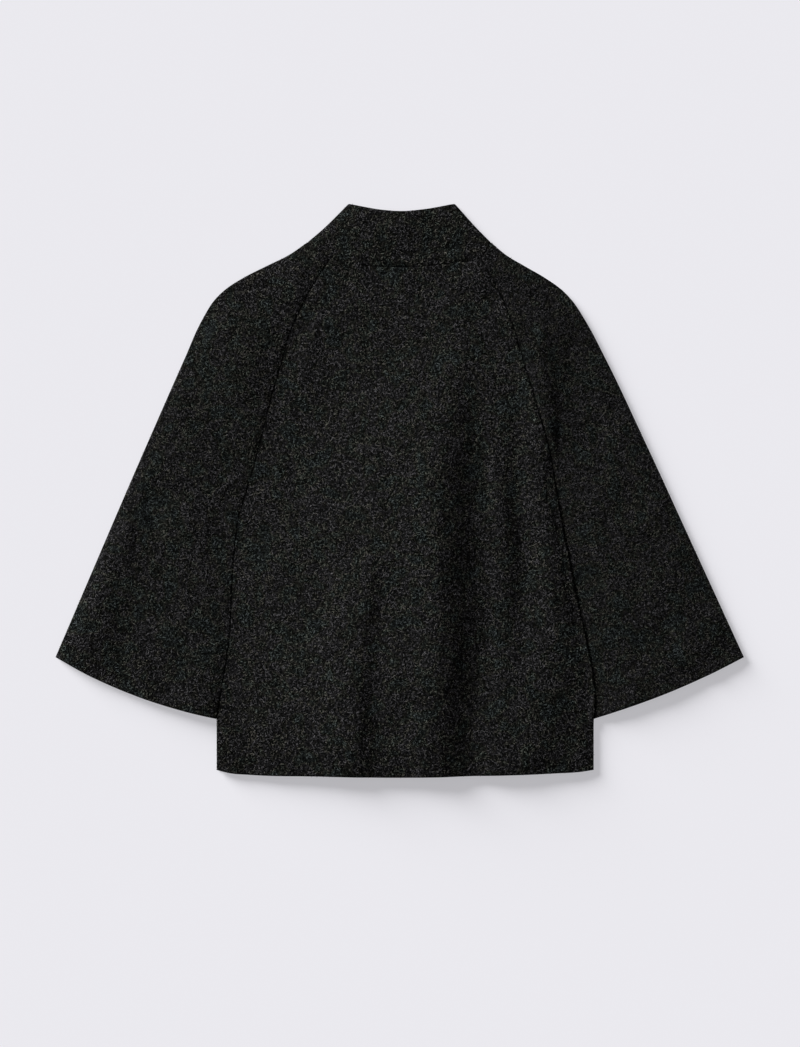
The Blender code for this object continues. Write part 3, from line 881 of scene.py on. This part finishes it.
def lip(raglan, underarm, size):
    """Crest line of an edge that stands up along a raglan seam and the line below it"""
    seam = crest_line(raglan, size.reach, size.reach, size.raglan)
    return seam + crest_line(underarm, size.reach, size.reach, size.underarm)


def top_cloth(name, plan, edge=None):
    """A panel of the upper layer, which may have an edge that stands up, and its outer side"""
    under = WALL + GAP + lie(plan)
    if edge:
        under = under + ridge(edge, plan[..., 0], plan[..., 1])
    return closed_cloth(name, raised(plan, under + WALL), raised(plan, under), loop_ground)


loop_ground = boucle(
    "boucle, ground of the loops",
    ground=(0.0020, 0.0021, 0.0020),
    yarn=(0.018, 0.0184, 0.018),
    curls={"Curl size mm": 4.4, "Width": 0.06, "Break": 0.42},
    bump_mm=0.9,
)

left_side = body_side(LEFT_RAGLAN, LEFT_UNDERARM, HEM[0], 0)
right_side = body_side(RIGHT_RAGLAN, RIGHT_UNDERARM, HEM[-1], 0)
rows = divide(length_of(left_side), BACK_MESH[0])
left_points = along(left_side, rows)
right_points = along(right_side, rows)
back_neck_stretch = smooth(BACK_NECK)[CURVE_STEPS : -CURVE_STEPS]
hem_curve = smooth(HEM)
back_plan = spread_between(
    left_points,
    right_points,
    lambda share: along(back_neck_stretch, share),
    lambda share: along(hem_curve, share),
    rows,
    column_shares(left_points, right_points, BACK_MESH[1], SEAM_GAP / 2, SEAM_GAP / 2),
)
back, back_top = top_cloth("back_cloth", back_plan, lip(RIGHT_RAGLAN, RIGHT_UNDERARM, RIGHT_LIP))
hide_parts("back")

# ==================================================================================================
# The back halves of the sleeves
# The same coating, on top. At the right raglan seam the allowances lie under the back's edge and lift it.
# Below the underarms a crevice runs between sleeve and body, and the left sleeve's edge stands up there.
# ==================================================================================================

SLEEVE_BACK_MESH = (196, 66)  # rows down the sleeve, columns to its outline
sleeve_tops = {}
for side, from_left in (("left", 1), ("right", -1)):
    plan = half_sleeve(side, BACK_NECK[::from_left], 0, SLEEVE_BACK_MESH)
    edge = lip(LEFT_RAGLAN, LEFT_UNDERARM, LEFT_LIP) if side == "left" else None
    piece, top = top_cloth(f"sleeve_back_{side}_cloth", plan, edge)
    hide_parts(f"sleeve_back_{side}")
    sleeve_tops[side] = (piece, top)

# ==================================================================================================
# The collar
# A stand-up collar of one band, pressed flat: it is folded at both sides of the neck, its back half lies on
# top and its front half underneath, and its two ends meet at the centre front.
# ==================================================================================================

COLLAR_MESH = (18, 150, 74)  # rows up from the seam, columns over the back, and over each front
TURN_STEPS = 6  # steps of a quarter turn round a fold
FRONT_COLLAR = 330.0
BACK_COLLAR_EDGE = [
    COLLAR_LEFT[-1],
    Point(-28.0, 352.5),
    Point(2.0, 350.1),
    Point(33.0, 352.8),
    COLLAR_RIGHT[-1],
]
FRONT_COLLAR_EDGE = [
    COLLAR_LEFT[-1],
    Point(-30.0, 338.0),
    Point(CENTRE, FRONT_COLLAR),
    Point(44.0, 338.0),
    COLLAR_RIGHT[-1],
]


def collar_skins():
    """The band's outer and inner side: from one end at the centre front, over the back, to the other end"""
    turn_radius = (2 * WALL + GAP) / 2
    collar_left, collar_right = smooth(COLLAR_LEFT), smooth(COLLAR_RIGHT)
    rows = divide(length_of(collar_left), COLLAR_MESH[0], start_gap=SEAM_GAP / 2)
    left, right = along(collar_left, rows), along(collar_right, rows)
    widths = np.linalg.norm(right - left, axis=1)[:, None]
    back_neck, back_edge = smooth(BACK_NECK), smooth(BACK_COLLAR_EDGE)

    def on_back(insets):
        """Places on the back half, this far in from its left fold"""
        return spread_between(
            left,
            right,
            lambda share: along(back_neck, share),
            lambda share: along(back_edge, share),
            rows,
            insets / widths,
        )

    def on_front(side, sign, insets):
        """Places on one front half. How far in they are depends on how far each row reaches."""
        neck = to_centre(FRONT_NECK_SEAM, FRONT_NECK, sign)
        edge = to_centre(FRONT_COLLAR_EDGE, FRONT_COLLAR, sign)
        centre = along(np.array([neck[-1], edge[-1]]), rows)
        reach = np.linalg.norm(centre - side, axis=1)[:, None]
        return spread_between(
            side,
            centre,
            lambda share: along(neck, share),
            lambda share: along(edge, share),
            rows,
            insets(reach) / reach,
        )

    def to_the_end(reach):
        """How far in from the fold the places of a front's flat part are"""
        shares = np.array([divide(length, COLLAR_MESH[2]) for length in reach[:, 0] - turn_radius])
        return turn_radius + (reach - turn_radius) * shares[:, len(RIM_RINGS) - 1 :]

    angles = np.radians(np.linspace(-90, 90, 2 * TURN_STEPS + 1))[1:-1]
    low, high = angles[: TURN_STEPS - 1], angles[TURN_STEPS - 1 :]
    top = on_back(turn_radius + (widths - 2 * turn_radius) * np.linspace(0, 1, COLLAR_MESH[1]))
    skins = []
    for radius, flat_height, lift in ((turn_radius, 0.0, WALL), (GAP / 2, WALL, 0.0)):
        low_insets, high_insets = (turn_radius - radius * np.cos(part) + 0 * widths for part in (low, high))
        low_heights, high_heights = (turn_radius + radius * np.sin(part) for part in (low, high))
        strips = [
            raised(on_front(left, -1, to_the_end)[:, ::-1], flat_height),
            raised(on_front(left, -1, lambda reach: low_insets), low_heights),
            raised(on_back(high_insets), high_heights),
            raised(top, WALL + GAP + lie(top) + lift),
            raised(on_back(widths - high_insets[:, ::-1]), high_heights[::-1]),
            raised(on_front(right, 1, lambda reach: low_insets[:, ::-1]), low_heights[::-1]),
            raised(on_front(right, 1, to_the_end), flat_height),
        ]
        skins.append(np.concatenate(strips, axis=1))
    return skins


collar, collar_outside = closed_cloth("collar_cloth", *collar_skins(), loop_ground)
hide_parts("collar")

# ==================================================================================================
# The loops of the boucle
# The yarn is spun with small curls, and they stand on the outer side of the cloth: short bent strands,
# charcoal with a few pale grey ones, all held in the weave at both ends.
# ==================================================================================================

LOOP_COUNTS = {"back": 78000, "sleeve": 27000, "collar": 3600}
LOOP_RADIUS = 0.31
LOOP_THICKNESS = (0.75, 1.25)  # shares of that radius
LOOP_TAPER = 0.45  # how much of its width it loses towards its ends
LOOP_LENGTH = (1.5, 4.4)
LOOP_BEND = (0.4, 3.8)  # how far it curls, in radians
LOOP_FOOT = 0.15  # height of its ends
LOOP_RISE = (0.25, 1.0)
LOOP_POINTS = np.linspace(-1.0, 1.0, 3)
ROUND_TILT = math.radians(44)  # of the normals at its two sides, so that it shades as a round strand
LOOP_FACING = 0.85  # how far up the cloth faces where a loop stands
SEAM_MARGIN = 0.2  # how near to an edge loops stand: at seams, and at open edges and folds
OPEN_MARGIN = 1.4

LOOP_COLOUR = (0.0211, 0.0209, 0.0209, 1)
SHADE_SPREAD = 1.15
SHADE_LIMITS = (0.12, 3.6)
WHITE_SHARE = 0.045
WHITE_SHADE = 5.2
SLEEVE_PAINTED_SHADE = {"left": 0.94, "right": 0.715}  # painted shade: the sleeves' strands are darker than the back's, for light that falls off towards the sides, most on the right

loop_wool, tree, shader = wool_shader("boucle loops")
# Each strand's colour: its own random tone, times the painted shade of the sleeve it stands on
shade = put(tree, "Attribute", {}, attribute_name="shade")
tint(tree, blend(tree, "MULTIPLY", 1.0, LOOP_COLOUR, shade.outputs["Color"]), shader)


def stand_places(grid, count, chance, margins):
    """Feet of strands, spread evenly by area over a panel's outer side, and the cloth's slope at each. There
    is a margin for each of the panel's edges: its first and last row, and its first and last column."""
    corner = cell_corners(grid)
    across = np.cross(corner[2] - corner[0], corner[3] - corner[1])
    across = across * np.sign(across[..., 2:])
    area = np.linalg.norm(across, axis=-1) / 2
    facing = across[..., 2] / (2 * area)
    room = np.min([away - margin for away, margin in zip(from_edges(grid), margins)], axis=0)
    free = (room[:-1, :-1] > 0) & (room[1:, 1:] > 0) & (facing > LOOP_FACING)
    area = np.where(free, area, 0.0).ravel()
    total = np.cumsum(area)
    cell = np.searchsorted(total, (np.arange(count) + chance.random(count)) / count * total[-1])
    over, down = chance.random((2, count, 1))
    first, second, third, fourth = (points.reshape(-1, 3)[cell] for points in corner)
    foot = (first * (1 - over) + second * over) * (1 - down) + (fourth * (1 - over) + third * over) * down
    normal = across.reshape(-1, 3)[cell]
    return foot, -normal[:, :2] / normal[:, 2:]


def strands(name, points, normals, shades):
    """A mesh of strands, each a strip of quads. Points go by strand, by place along it and by side."""
    count, places = points.shape[:2]
    first = np.arange(count)[:, None] * 2 * places + 2 * np.arange(places - 1)
    quads = np.stack([first, first + 2, first + 3, first + 1], axis=-1).reshape(-1, 4)
    data = bpy.data.meshes.new(name)
    data.vertices.add(count * places * 2)
    data.vertices.foreach_set("co", (points * MM).ravel())
    data.loops.add(quads.size)
    data.loops.foreach_set("vertex_index", quads.ravel())
    data.polygons.add(len(quads))
    data.polygons.foreach_set("loop_start", np.arange(0, quads.size, 4))
    data.update(calc_edges=True)
    data.shade_smooth()
    normals = normals / np.linalg.norm(normals, axis=-1, keepdims=True)
    data.normals_split_custom_set_from_vertices(normals.reshape(-1, 3))
    colours = np.ones((count, places * 2, 4))
    colours[..., :3] = shades[:, None, None]
    layer = data.attributes.new("shade", "FLOAT_COLOR", "POINT")
    layer.data.foreach_set("color", colours.ravel())
    data.materials.append(loop_wool)
    return as_piece(name, data)


def loops(name, grid, count, seed, margins, painted_shade=1.0):
    """Curled strands that stand on a panel's outer side"""
    chance = np.random.default_rng(seed)

    def between(low_high):
        """A chance value in this range for each strand"""
        return low_high[0] + (low_high[1] - low_high[0]) * chance.random((count, 1))

    foot, slope = stand_places(grid, count, chance, margins)
    length = between(LOOP_LENGTH)
    bend = between(LOOP_BEND) * np.sign(chance.random((count, 1)) - 0.5)
    heading = 2 * math.pi * chance.random((count, 1))
    rise = between(LOOP_RISE)
    at = LOOP_POINTS[None]
    turn = heading + bend * at / 2
    curl = [np.sin(turn) - np.sin(heading), np.cos(heading) - np.cos(turn)]
    path = (length / bend)[..., None] * np.stack(curl, axis=-1)
    sideways = np.stack([-np.sin(turn), np.cos(turn)], axis=-1)
    forward = np.stack([np.cos(turn), np.sin(turn)], axis=-1)
    half_width = (LOOP_RADIUS * between(LOOP_THICKNESS) * (1 - LOOP_TAPER * at**2))[..., None]
    height = LOOP_FOOT + rise * (1 - at**2)
    climb = (-4 * rise * at / length)[..., None]
    steepness = climb * forward + slope[:, None]
    points, normals = [], []
    for side in (-1, 1):
        off = path + side * half_width * sideways
        z = foot[:, None, 2] + (off * slope[:, None]).sum(-1) + height
        points.append(np.concatenate([foot[:, None, :2] + off, z[..., None]], axis=-1))
        lean = math.sin(ROUND_TILT) * side * sideways - math.cos(ROUND_TILT) * steepness
        upward = np.full(lean.shape[:2] + (1,), math.cos(ROUND_TILT))
        normals.append(np.concatenate([lean, upward], axis=-1))
    shades = np.clip(np.exp(SHADE_SPREAD * chance.standard_normal(count)), *SHADE_LIMITS)
    # A panel's painted shade darkens all its strands; the back and the collar have none
    shades = painted_shade * np.where(chance.random(count) < WHITE_SHARE, WHITE_SHADE, shades)
    return strands(name, np.stack(points, axis=2), np.stack(normals, axis=2), shades)


seams_and_open_end = (SEAM_MARGIN, OPEN_MARGIN, SEAM_MARGIN, SEAM_MARGIN)
half_count = LOOP_COUNTS["back"] // 2  # the loops of the back are in two pieces
back_loops = [
    loops(f"back_loops_{part}", back_top, half_count, part, seams_and_open_end) for part in (1, 2)
]
seam_and_open_edges = (SEAM_MARGIN, OPEN_MARGIN, SEAM_MARGIN, OPEN_MARGIN)
for seed, (side, (sleeve, top)) in enumerate(sleeve_tops.items(), start=3):
    name = f"sleeve_back_{side}_loops"
    sleeve_loops = loops(name, top, LOOP_COUNTS["sleeve"], seed, seam_and_open_edges, SLEEVE_PAINTED_SHADE[side])
fold = COLLAR_MESH[2] + len(RIM_RINGS) + TURN_STEPS - 1  # the column of the band at its fold
back_half = collar_outside[:, fold:-fold]
seam_below = (SEAM_MARGIN, OPEN_MARGIN, OPEN_MARGIN, OPEN_MARGIN)
collar_loops = loops("collar_loops", back_half, LOOP_COUNTS["collar"], 5, seam_below)

# ==================================================================================================
# The floor, the light and the camera
# A plain pale floor, one low and soft light from the upper left that rakes over the folds, and a camera
# straight above that takes in what the photograph shows.
# ==================================================================================================

FLOOR_COLOUR = (0.4047, 0.4008, 0.4203, 1)
FLOOR_GLOW_COLOUR = (0.831, 0.823, 0.863, 1)
FLOOR_GLOW = 0.51
FLOOR_HALF = 6.0  # in metres, from its centre to its sides
ROOM_COLOUR = (0.96, 0.96, 1.0, 1)
ROOM_LIGHT = 0.14
CAMERA_HEIGHT = 3.2  # in metres
VIEW_DEPTH = 50.0  # in metres
LONG_SIDE_MM = 1308.75  # of the photograph's frame, at the height that follows
MATCH_HEIGHT_MM = 6.5
FRAME_CENTRE_X = 0.35
FRAME_CENTRE_Y = -40.6
SENSOR_MM = 36.0

half = FLOOR_HALF
corners = [(-half, -half, 0), (half, -half, 0), (half, half, 0), (-half, half, 0)]
floor_mesh = bpy.data.meshes.new("floor")
floor_mesh.from_pydata(corners, [], [(0, 1, 2, 3)])
floor = in_scene("floor", floor_mesh)
paper = bpy.data.materials.new("floor")
paper.use_nodes = True
shader = paper.node_tree.nodes["Principled BSDF"]
shader.inputs["Base Color"].default_value = FLOOR_COLOUR
shader.inputs["Roughness"].default_value = 1.0
shader.inputs["Specular IOR Level"].default_value = 0.0
shader.inputs["Emission Color"].default_value = FLOOR_GLOW_COLOUR
shader.inputs["Emission Strength"].default_value = FLOOR_GLOW
floor_mesh.materials.append(paper)


def far_light(name, toward, elevation, softness, strength):
    """A distant lamp: the horizontal direction that it comes from, and its height and width in degrees"""
    lamp = bpy.data.lights.new(name, "SUN")
    lamp.angle = math.radians(softness)
    lamp.energy = strength
    holder = in_scene(name, lamp)
    azimuth = math.atan2(toward[1], toward[0])
    holder.rotation_euler = (0.0, math.radians(90 - elevation), azimuth)


far_light("main light", toward=(-0.74, 0.67), elevation=15.5, softness=28, strength=10.1)
world = bpy.data.worlds.new("soft room")
world.use_nodes = True
background = world.node_tree.nodes["Background"]
background.inputs["Color"].default_value = ROOM_COLOUR
background.inputs["Strength"].default_value = ROOM_LIGHT
bpy.context.scene.world = world
bpy.context.scene.view_settings.view_transform = "Standard"

view = bpy.data.cameras.new("camera")
view.sensor_width = SENSOR_MM
view.lens = SENSOR_MM * (CAMERA_HEIGHT - MATCH_HEIGHT_MM * MM) / (LONG_SIDE_MM * MM)
view.clip_end = VIEW_DEPTH
camera = in_scene("camera", view)
camera.location = (FRAME_CENTRE_X * MM, FRAME_CENTRE_Y * MM, CAMERA_HEIGHT)
bpy.context.scene.camera = camera
